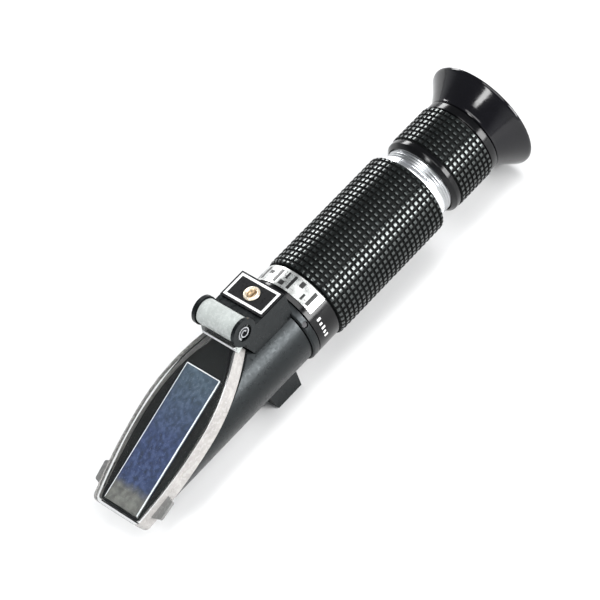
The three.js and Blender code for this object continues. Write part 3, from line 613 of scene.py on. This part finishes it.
def build_prism():
    edge = 0.22
    exit_corner = (PRISM_EXIT * math.sin(INCLINE), -PRISM_EXIT * math.cos(INCLINE))
    outline = [(0, 0), (PRISM_LENGTH, 0), (PRISM_LENGTH, -PRISM_TIP), exit_corner]
    prism = make("prism", *slope_slab(outline, PRISM_HALF), [prism_material(), ground_and_highlight_edge],
                 "optical_body", ["measuring_prism"], "prism_glass")
    bevelled(prism, edge, 1, 30, edge_slot=1)
    # The measuring face gets a ground rim on three sides, but none at the tip.
    edged = bmesh.new()
    edged.from_mesh(prism.data)
    upward = [f for f in edged.faces if f.normal.dot(SLOPE_NORMAL) > 0.99]
    measuring_face = max(upward, key=lambda f: f.calc_area())
    rim = bmesh.ops.inset_region(edged, faces=[measuring_face], thickness=edge * MM)
    for face in rim["faces"]:
        face.material_index = 1
    tip_line = on_slope(PRISM_LENGTH - 0.5, 0, 0).x
    for face in edged.faces:
        if face.calc_center_median().x < tip_line:
            face.material_index = 0
    edged.to_mesh(prism.data)
    edged.free()


build_prism()

# -------------------------------------------------------------- daylight plate

# Paints of the clear plate: clear plastic, and painted light and shade on its walls, knuckle, edges and
# tabs.
CLEAR, WALL, PAINTED_GLOW_KNUCKLE, HIGHLIGHT_EDGE, TAB = range(5)


def plate_paint(point):
    """Which paint the plate has at a point of its surface: clear plastic, painted glow on its walls and
    knuckle, painted highlights on its edges, or painted shade and sheen on its tabs.
    """
    down, up = slope_place(point)
    across = abs(point.y / MM)
    outside = boat_half(min(down, PLATE_TIP))
    # Painted highlight: the crease where the web steps up gets the pale grey edge paint.
    if abs(down - WEB_END + WEB_STEP / 2) < 0.2 and across < KNUCKLE_HALF and up > PLATE_TOP:
        return HIGHLIGHT_EDGE
    if down < WEB_END - 1.7 and across < KNUCKLE_HALF + 0.1 and up > PLATE_UNDER - 0.1:
        return PAINTED_GLOW_KNUCKLE
    if across > outside * 1.05 + 0.25:
        return TAB
    if down > PLATE_TIP - PLATE_TIP_WALL - 0.1:
        return WALL
    if across > outside - 0.3 and up < PLATE_TOP - 0.1:
        return WALL
    return CLEAR


def build_plate():
    """The clear lid: a shallow tray with a knuckle, its web and two finger tabs."""
    outside = boat(PLATE_END, PLATE_TIP, 0, PLATE_CORNER)
    inside = boat(PLATE_END - 4, PLATE_TIP - PLATE_TIP_WALL, PLATE_WALL, PLATE_CORNER - 1)
    plate = make("clear_plate", *flared_boat(outside, PLATE_BOTTOM, PLATE_TOP), [], None)
    hollow = temporary(flared_boat(inside, PLATE_BOTTOM - 1, PLATE_UNDER))
    combine(plate, [hollow], "DIFFERENCE")
    knuckle = temporary(hinge_bar(KNUCKLE_RADIUS, KNUCKLE_HALF, 128))
    web_outline = [(HINGE_DOWN, PLATE_UNDER), (WEB_END, PLATE_UNDER), (WEB_END, PLATE_TOP),
                   (WEB_END - WEB_STEP, PLATE_TOP + WEB_STEP),
                   (HINGE_DOWN + KNUCKLE_RADIUS - 0.2, HINGE_UP - 0.9), (HINGE_DOWN, HINGE_UP - 1)]
    web = temporary(slope_slab(web_outline, KNUCKLE_HALF))
    tabs = []
    for side in (-1, 1):
        outline = [(TAB_START, boat_half(TAB_START) - TAB_ROOT),
                   (TAB_START + TAB_SLANT, TAB_REACH_START),
                   (TAB_END - TAB_SLANT, TAB_REACH_END),
                   (TAB_END, boat_half(TAB_END) - TAB_ROOT)]
        outline = rounded([(down, side * half) for down, half in outline], 0.6)
        tabs.append(temporary(on_slope_raised(outline, TAB_LOW, TAB_HIGH)))
    combine(plate, [knuckle, web, *tabs], "UNION")
    combine(plate, [temporary(hinge_bar(PIN_RADIUS + GAP, PAST, 64))], "DIFFERENCE")
    # Painted glow: the clear walls get a pale grey opaque paint for the light they carry and reflect.
    walls = painted_light_plastic("plate_sides_painted_glow", (0.35, 0.337, 0.325), 1.0)
    # Painted glow: the clear knuckle gets a pale, nearly opaque paint for the light it carries.
    glow_knuckle_paint = painted_light_plastic("plate_knuckle_painted_glow", (0.46, 0.49, 0.475), 0.95)
    # Painted shade and sheen: the clear tabs get a flat grey for the shade seen through them and the
    # light in their edges.
    tab_shade_and_sheen_paint = painted_light_plastic("plate_tabs_shade_and_sheen", (0.17, 0.17, 0.165), 1.0)
    for material in (acrylic, walls, glow_knuckle_paint, ground_and_highlight_edge, tab_shade_and_sheen_paint):
        plate.data.materials.append(material)
    for face in plate.data.polygons:
        face.material_index = plate_paint(face.center)
    # Painted highlights: the rounded strips along the plate's edges get the pale grey edge paint.
    bevelled(plate, 0.28, 1, 40, edge_slot=HIGHLIGHT_EDGE)
    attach(plate, "daylight_plate")
    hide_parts("daylight_plate")


build_plate()

# ------------------------------------------------------------------- hinge pin


def build_pin():
    """A strip of steel rolled into an open spiral."""
    strip, gap, turns, steps = 0.42, 0.52, 1.6, 110
    pitch = strip + gap
    inner = PIN_RADIUS - strip - pitch * turns
    face, back = [], []
    for i in range(steps + 1):
        angle = i / steps * turns * 2 * math.pi
        radius = inner + pitch * angle / (2 * math.pi)
        face.append((radius * math.cos(angle), radius * math.sin(angle)))
        back.append(((radius + strip) * math.cos(angle), (radius + strip) * math.sin(angle)))
    outline = [(HINGE_STATION + a, HINGE_HEIGHT + b) for a, b in face + back[::-1]]
    make("rolled_pin", *side_slab(outline, PIN_HALF), steel, "optical_body", ["hinge_pin"],
         "pin_steel")


build_pin()

# ------------------------------------------------- calibration plate and screw

BADGE_FRONT, BADGE_REAR, BADGE_HALF = -BADGE_MARGIN, 9.35, 8.35
BORDER_FRONT, BORDER_REAR, BORDER_HALF, BORDER_WIDTH = 0.15, 8.75, 7.7, 0.8


def build_badge():
    """The black plate on the head block, with a raised white border."""
    badge_low, badge_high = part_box("calibration_plate")
    bottom, top = (badge_low.z - AXIS_HEIGHT) / MM, (badge_high.z - AXIS_HEIGHT) / MM
    outline = rounded(oblong(BADGE_FRONT, BADGE_REAR, BADGE_HALF), 0.3)
    badge = make("calibration_label", *raised(outline, bottom, top - 0.04), [], None)
    combine(badge, [temporary(upright(BUSH_RADIUS + 0.1, 0, PAST))], "DIFFERENCE")
    bevelled(badge, 0.08, 2)
    badge.data.materials.append(print_black)
    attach(badge, "optical_body")
    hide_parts("calibration_plate")

    outer = oblong(BORDER_FRONT, BORDER_REAR, BORDER_HALF)
    inner = oblong(BORDER_FRONT + BORDER_WIDTH, BORDER_REAR - BORDER_WIDTH,
                   BORDER_HALF - BORDER_WIDTH)
    border = make("calibration_border", *raised(outer, top - 0.06, top), [], None)
    combine(border, [temporary(raised(inner, top - 1, top + 1))], "DIFFERENCE")
    settle(border)
    border.data.materials.append(white_ink)
    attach(border, "optical_body")


build_badge()


def upright_turned(profile, segments=96):
    """A closed outline of (radius, height) turned about the screw's axis."""
    vertices, faces = [], []
    rows = len(profile)
    for radius, height in profile:
        for j in range(segments):
            angle = 2 * math.pi * j / segments
            station = SCREW_STATION + radius * math.cos(angle)
            vertices.append(at(station, radius * math.sin(angle), height))
    for i in range(rows):
        for j in range(segments):
            k = (j + 1) % segments
            n = (i + 1) % rows
            faces.append((i * segments + j, i * segments + k, n * segments + k, n * segments + j))
    return vertices, faces


bush_profile = rounded([(BUSH_BORE, BUSH_BOTTOM), (BUSH_RADIUS, BUSH_BOTTOM),
                        (BUSH_RADIUS, BUSH_TOP), (BUSH_BORE, BUSH_TOP)], 0.3)
make("screw_bush", *upright_turned(bush_profile), brass, "optical_body", ["calibration_bush"],
     "brass")


def build_screw():
    screw = make("slotted_screw", *upright(SCREW_RADIUS, SCREW_BOTTOM, SCREW_TOP, 96), [], None)
    slot = oblong(SCREW_STATION - SLOT_REACH, SCREW_STATION + SLOT_REACH, SLOT_HALF)
    combine(screw, [temporary(raised(slot, SLOT_BOTTOM, SCREW_TOP + 2))], "DIFFERENCE")
    bevelled(screw, 0.12, 3)
    screw.data.materials.append(screw_brass)
    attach(screw, "calibration_screw")
    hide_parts("calibration_screw")


build_screw()

# ------------------------------------------------------------- collar and tube

LOCK_FRONT, LOCK_REAR, LOCK_BORE, LOCK_CHAMFER = 8.8, 11.3, 11.3, 0.4
GRUB_STATION, GRUB_RADIUS, GRUB_HOLE, GRUB_TOP = 10.05, 0.9, 1.05, 13.2
GRUB_ANGLES = [math.radians(180 + 120 * i) for i in range(3)]


def build_lock_ring():
    profile = rounded([(LOCK_FRONT, LOCK_BORE), (LOCK_FRONT, RING_RADIUS - LOCK_CHAMFER),
                       (LOCK_FRONT + LOCK_CHAMFER, RING_RADIUS), (LOCK_REAR, RING_RADIUS),
                       (LOCK_REAR, LOCK_BORE)], 0.2)
    ring = make("locking_ring", *turned(profile, 192), [], None)
    holes = [temporary(radial_bar(5, PAST, GRUB_HOLE, angle)) for angle in GRUB_ANGLES]
    combine(ring, holes, "DIFFERENCE")
    settle(ring)
    ring.data.materials.append(enamel)
    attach(ring, "optical_body")
    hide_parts("lock_ring")


def radial_bar(low, high, radius, angle, segments=48):
    """A bar that stands out from the axis, at an angle about it from the top."""
    def place(a, b, c):
        return at(GRUB_STATION + a, b * math.cos(angle) - c * math.sin(angle),
                  b * math.sin(angle) + c * math.cos(angle))
    return prismatic(circle(0, 0, radius, segments), low, high, place)


build_lock_ring()
for number, angle in enumerate(GRUB_ANGLES, 1):
    grub = make(f"grub_screw_{number}", *radial_bar(LOCK_BORE, GRUB_TOP, GRUB_RADIUS, angle),
                dark_steel, "optical_body", [f"lock_screw_{number}"], "screw_steel")
    bevelled(grub, 0.1, 2)

TUBE_FRONT, TUBE_REAR, TUBE_BORE, TUBE_RADIUS = 11.6, 67.3, 11.3, 12.6
BAND_REAR, BAND_RADIUS = 20, 13.6
tube_profile = rounded([(TUBE_FRONT, TUBE_BORE), (TUBE_FRONT, BAND_RADIUS),
                        (BAND_REAR, BAND_RADIUS), (BAND_REAR, TUBE_RADIUS),
                        (TUBE_REAR, TUBE_RADIUS), (TUBE_REAR, TUBE_BORE)], 0.15)
make("tube", *turned(tube_profile, 192), gloss_black, "optical_body", ["main_tube"],
     "anodised_black")


def curved_patch(front, rear, inner, outer, start, end, steps):
    """A patch wrapped round the tube. Angles count from the near side upwards."""
    outline = []
    for i in range(steps + 1):
        angle = math.radians(start + (end - start) * i / steps)
        outline.append((-outer * math.cos(angle), outer * math.sin(angle)))
    for i in range(steps, -1, -1):
        angle = math.radians(start + (end - start) * i / steps)
        outline.append((-inner * math.cos(angle), inner * math.sin(angle)))
    return prismatic(outline, front, rear, lambda a, b, c: at(c, a, b))


FOIL_FRONT, FOIL_REAR, FOIL_INNER, FOIL_OUTER, FOIL_START, FOIL_END = 13.3, 19.7, 13.75, 13.92, 35, 180
foil_patch = curved_patch(FOIL_FRONT, FOIL_REAR, FOIL_INNER, FOIL_OUTER, FOIL_START, FOIL_END, 96)
make("band_foil", *foil_patch, foil, "optical_body", ["band_label"], "silver_foil")

# Plain bars printed on the foil: angle, width in degrees, front and rear station.
MARKS = [(44, 5, 14.1, 18.9), (55, 3, 14.1, 16.2), (63, 6, 16.9, 18.9), (76, 4, 14.1, 18.9),
         (86, 7, 14.1, 15.6), (87, 3, 16.6, 18.9), (98, 5, 14.1, 18.9), (110, 8, 16.4, 17.6),
         (123, 5, 14.1, 18.9), (134, 4, 14.1, 16.2), (145, 5, 14.1, 18.9), (158, 4, 15.6, 18.9)]
MARK_INNER, MARK_OUTER = 13.88, 13.97

# White dashes on the band below the foil.
TICKS, TICK_START, TICK_STEP, TICK_WIDTH, TICK_FRONT, TICK_REAR = 5, -7, 6.8, 3, 13.8, 15.2
TICK_INNER, TICK_OUTER, TICK_SHORTER = 13.56, 13.66, 0.4


def together(name, solids, material):
    """Several small solids made as one piece on the tube."""
    vertices, faces = [], []
    for corners, sides in solids:
        start = len(vertices)
        vertices += corners
        faces += [tuple(start + i for i in side) for side in sides]
    make(name, vertices, faces, material, "optical_body", slot="silver_foil")


def tick(number):
    start = TICK_START + TICK_STEP * number
    rear = TICK_REAR - TICK_SHORTER * (number % 2)
    return curved_patch(TICK_FRONT, rear, TICK_INNER, TICK_OUTER, start, start + TICK_WIDTH, 4)


together("band_marks", [curved_patch(front, rear, MARK_INNER, MARK_OUTER, start, start + width, 8)
                        for start, width, front, rear in MARKS], black_ink)
together("band_ticks", [tick(number) for number in range(TICKS)], white_ink)

# -------------------------------------------------------------- knurled rubber

STUD_FOOT, STUD_SLOPE, STUD_WEAR = 0.78, 0.26, 0.2
CELL = (-1.0, -0.78, -0.52, -0.26, 0.0, 0.26, 0.52, 0.78)


def stud(a, b):
    """Height of a worn square stud over its cell, from 0 to 1."""
    reach = max(abs(a), abs(b))
    flank = min(1.0, max(0.0, (STUD_FOOT - reach) / STUD_SLOPE))
    return flank * (1 - STUD_WEAR * (a * a + b * b))


def knurled(front, rear, bore, radius, height, around, along, edge):
    """A rubber sleeve covered in square studs, closed by its bore.

    edge rounds its two ends.
    """
    rows = []
    pitch = (rear - front) / along
    for i in range(along):
        rows += [(front + pitch * (i + (c + 1) / 2), c) for c in CELL]
    rows.append((rear, -1.0))
    columns = [(2 * math.pi * (j + (c + 1) / 2) / around, c) for j in range(around) for c in CELL]
    vertices, faces = [], []
    for station, a in rows:
        inset = max(0.0, edge - min(station - front, rear - station))
        drop = edge - math.sqrt(max(0.0, edge * edge - inset * inset))
        for angle, b in columns:
            r = radius - height - drop + height * stud(a, b)
            vertices.append(at(station, r * math.cos(angle), r * math.sin(angle)))
    for station in (rear, front):
        for angle, _ in columns:
            vertices.append(at(station, bore * math.cos(angle), bore * math.sin(angle)))
    width, total = len(columns), len(rows) + 2
    for i in range(total):
        for j in range(width):
            k, n = (j + 1) % width, (i + 1) % total
            faces.append((i * width + j, i * width + k, n * width + k, n * width + j))
    return vertices, faces


def paint_groove_shade(piece, radius):
    """Gives every face nearer to the axis than radius the darker, duller groove rubber: painted shade
    in the grooves between the studs.
    """
    piece.data.materials.append(groove_shade_rubber)
    for face in piece.data.polygons:
        centre = face.center
        if math.hypot(centre.y, centre.z - AXIS_HEIGHT) < radius * MM:
            face.material_index = 1


STUD_SHARP = math.radians(34)
grip_mesh = knurled(front=20.3, rear=67.4, bore=12.9, radius=14.4, height=0.6, around=44, along=25,
                    edge=1.3)
grip = make("grip", *grip_mesh, grip_rubber, "optical_body", ["grip_sleeve"], "rubber_grip",
            STUD_SHARP)
paint_groove_shade(grip, 14.12)

# -------------------------------------------------------------------- eyepiece

flange_profile = rounded([(67.7, 11.3), (67.7, 12.5), (69.2, 12.5), (69.2, 11.3)], 0.25)
make("chrome_flange", *turned(flange_profile, 192), chrome, "optical_body", ["end_ring"], "chrome")


def build_eye_tube():
    """The chrome tube with the focusing thread cut into it as a spiral groove."""
    thread_front, thread_rear, pitch, depth = 70.4, 78.0, 0.9, 0.38
    rows = [(60, 10.3), (60, 11), (69.5, 11), (69.5, 11.75), (69.65, 11.9), (70.1, 11.9), (70.3, 11.7)]
    plain = len(rows)
    count = int((thread_rear - thread_front) / pitch * 8)
    length = thread_rear - thread_front
    rows += [(thread_front + length * i / count, 11.9) for i in range(count + 1)]
    rows += [(78.2, 11.7), (78.2, 10.3)]

    def relief(station, angle, index):
        if index < plain or station > thread_rear:
            return 0
        phase = (station / pitch - angle / (2 * math.pi)) % 1
        return -depth * abs(2 * phase - 1)

    eye_tube = make("chrome_tube", *turned(rows, 144, relief), [chrome, thread_steel], "optical_body",
                    ["eyepiece_tube"], "chrome", math.radians(50))
    thread_start = at(thread_front, 0, 0).x
    for face in eye_tube.data.polygons:
        if face.center.x > thread_start:
            face.material_index = 1


build_eye_tube()

core_profile = [(73, 12.2), (73, 12.3), (74.2, 13.5), (75.9, 13.5), (75.9, 12.8), (90.6, 12.8),
                (90.6, 13.35), (93.1, 13.35), (93.1, 12.2), (86.5, 12.2), (86.5, 10.3),
                (84.7, 10.3), (84.7, 12.2)]
make("ring_core", *turned(rounded(core_profile, 0.25), 192), gloss_black, "focus_ring",
     ["focus_ring"], "anodised_black")
ring_mesh = knurled(front=76.2, rear=90.3, bore=13.0, radius=13.8, height=0.6, around=41, along=8,
                    edge=0.4)
ring_grip = make("ring_knurl", *ring_mesh, grip_rubber, "focus_ring", ["focus_ring_grip"],
                 "rubber_grip", STUD_SHARP)
paint_groove_shade(ring_grip, 13.52)


cup_outside = [(93.4, 11.9), (93.4, 13.2), (94.3, 13.5), (95.6, 14.2), (97.4, 15.4), (99.2, 16.8),
               (100.6, 18.0), (101.4, 18.7), (101.9, 18.95), (102.35, 18.95), (102.6, 18.6),
               (102.55, 18.1), (102.2, 17.7)]
cup_inside = [(101.2, 17.1), (99.6, 15.9), (97.6, 14.0), (96.1, 12.2), (95.4, 11.2), (95.2, 10.6),
              (95.2, 8.8), (93.4, 8.8), (93.4, 10.6), (88.4, 10.6), (88.4, 11.9)]
cup_profile = rounded(cup_outside + cup_inside, 0.6, 3)
make("rubber_eyecup", *turned(cup_profile, 192), cup_rubber, "focus_ring", ["eyecup"],
     "eyecup_rubber", math.radians(50))

# -------------------------------------------------- inner pieces kept from CAD

KEPT = {
    "prism_bed": steel,
    "lens_carrier": anodised,
    "bimetal_strip_top": bimetal,
    "bimetal_strip_bottom": bimetal,
    "objective_cell": anodised,
    "objective_lens": optic,
    "carrier_spring": steel,
    "tube_seal": seal_rubber,
    "aperture_stop": anodised,
    "reticle_holder": anodised,
    "reticle_disc": optic,
    "reticle_clamp": brass,
    "guide_key": dark_steel,
    "eyepiece_seal": seal_rubber,
    "lens_barrel": anodised,
    "field_lens": optic,
    "lens_spacer": anodised,
    "eye_lens_clamp": anodised,
    "barrel_circlip": steel,
    "eye_lens": optic,
}
for node, material in KEPT.items():
    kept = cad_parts[node]
    kept.data.materials.clear()
    kept.data.materials.append(material)

# ------------------------------------------------------------ stage and camera

FLOOR_HALF, FLOOR_HEIGHT = 4, -0.0002
floor_corners = [(x, y, FLOOR_HEIGHT) for x, y in oblong(-FLOOR_HALF, FLOOR_HALF, FLOOR_HALF)]
floor_mesh = bpy.data.meshes.new("floor")
floor_mesh.from_pydata(floor_corners, [], [(0, 1, 2, 3)])
floor = bpy.data.objects.new("floor", floor_mesh)
bpy.context.scene.collection.objects.link(floor)
floor.data.materials.append(finish("floor", (0.8, 0.8, 0.8), 0.7, mottle=0.01, mottle_scale=3,
                                   grain=0, Specular_IOR_Level=0.1))

world = bpy.data.worlds.new("studio")
bpy.context.scene.world = world
world.use_nodes = True
sky = world.node_tree
heading = sky.nodes.new("ShaderNodeTexCoord")
height = sky.nodes.new("ShaderNodeSeparateXYZ")
sky.links.new(heading.outputs["Generated"], height.inputs["Vector"])
# Bright at the horizon, dim overhead.
STUDIO = [(0.0, (0.9, 0.91, 0.92)), (0.12, (0.75, 0.77, 0.8)), (0.35, (0.2, 0.21, 0.22)),
          (1.0, (0.16, 0.17, 0.18))]
shade = ramp(sky, height.outputs["Z"], STUDIO)
sky.links.new(shade, sky.nodes["Background"].inputs["Color"])
sky.nodes["Background"].inputs["Strength"].default_value = 1.0


def softbox(name, elevation, azimuth, width, height, power):
    """A soft lamp aimed at the object, with its width along it. Azimuth 0 is the near side."""
    light = bpy.data.lights.new(name, "AREA")
    light.shape = "RECTANGLE"
    light.size, light.size_y = width, height
    light.energy = power
    lamp = bpy.data.objects.new(name, light)
    bpy.context.scene.collection.objects.link(lamp)
    e, a = math.radians(elevation), math.radians(azimuth)
    direction = Vector((math.sin(a) * math.cos(e), -math.cos(a) * math.cos(e), math.sin(e)))
    lamp.location = at(10, 0, 0) + direction * LAMP_DISTANCE
    along = (Vector((1, 0, 0)) - direction * direction.x).normalized()
    across = direction.cross(along)
    lamp.rotation_euler = Matrix((along, across, direction)).transposed().to_euler()


LAMP_DISTANCE = 0.9
softbox("near_box", 18, 21, 0.52, 0.36, 10)
softbox("top_box", 68, 6, 0.52, 0.8, 6.5)
softbox("far_box", 24, 159, 0.52, 0.25, 6)
softbox("front_box", 41, -84, 0.42, 0.15, 3.4)
bpy.context.scene.view_settings.view_transform = "Standard"

CAMERA_POSITION = (-312.96, -539.87, 716.53)
CAMERA_TARGET = (16.773, -3.155, 5.396)
CAMERA_ROLL = math.radians(-21.232)
camera_data = bpy.data.cameras.new("camera")
camera_data.sensor_width = 36
camera_data.lens = 196.45
camera = bpy.data.objects.new("camera", camera_data)
bpy.context.scene.collection.objects.link(camera)
camera.location = at(*CAMERA_POSITION)
aim = at(*CAMERA_TARGET) - at(*CAMERA_POSITION)
camera.rotation_mode = "QUATERNION"
camera.rotation_quaternion = aim.to_track_quat("-Z", "Y") @ Quaternion((0, 0, 1), CAMERA_ROLL)
bpy.context.scene.camera = camera
